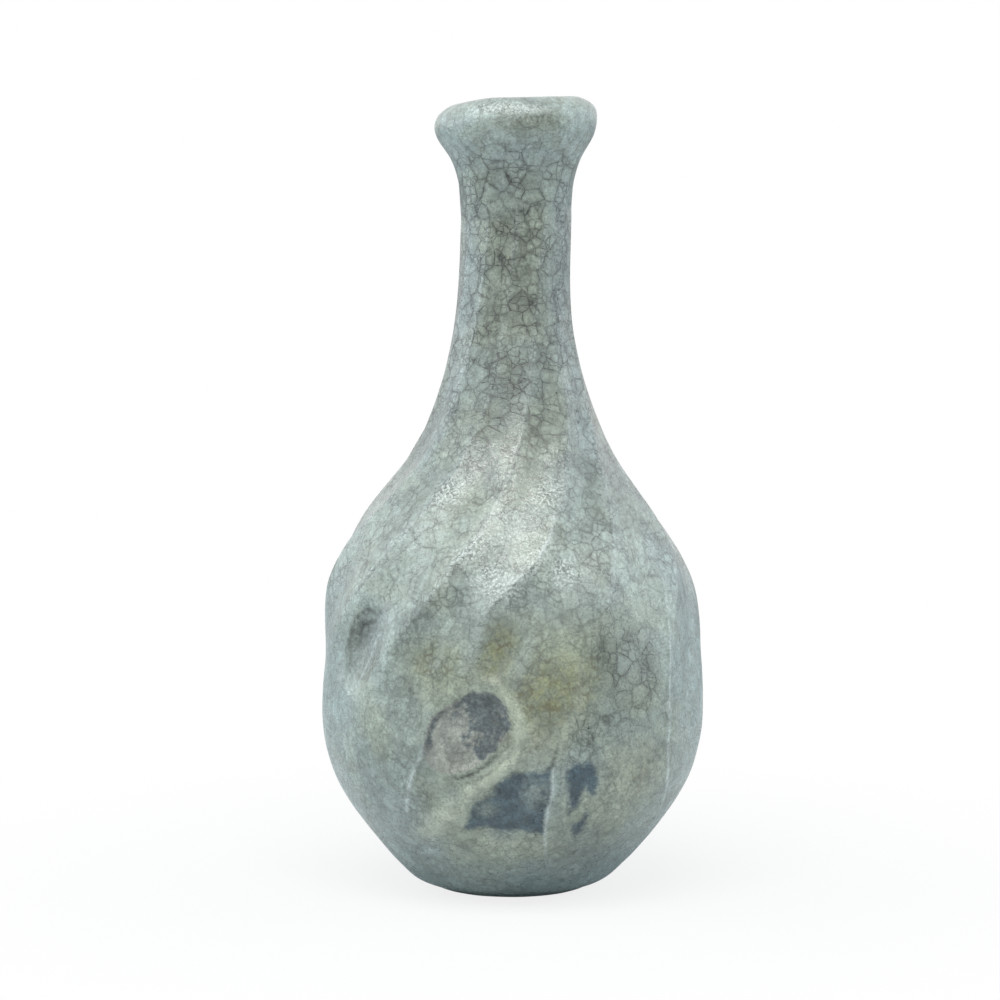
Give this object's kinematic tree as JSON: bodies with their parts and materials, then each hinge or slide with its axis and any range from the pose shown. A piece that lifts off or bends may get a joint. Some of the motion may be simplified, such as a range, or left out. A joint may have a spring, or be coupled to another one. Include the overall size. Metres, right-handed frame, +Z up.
{
  "type": "bottle vase",
  "caption": "Small stoneware bottle vase with a round belly, narrow neck and rolled lip, twist-fluted and thumb-dented under a crackled grey-green glaze, for a few stems.",
  "frame": {"origin": "centre of the foot ring on the surface the vase stands on", "axes": "+Z up along the vase's axis, -Y to the front with the large thumb hollow, +X to the viewer's right"},
  "size_m": [0.0744, 0.0745, 0.155],
  "materials": {
    "bare_clay": "matt, fired and unglazed",
    "clay": "matt, fired",
    "crackle_glaze": "satin gloss with crackle",
    "liner_glaze": "gloss"
  },
  "bodies": {
    "root": {"foot_ring": "bare_clay", "lower_body": "clay", "shoulder": "clay", "neck": "clay", "lip": "clay", "outer_glaze": "crackle_glaze", "inner_glaze": "liner_glaze"}
  },
  "joints": []
}
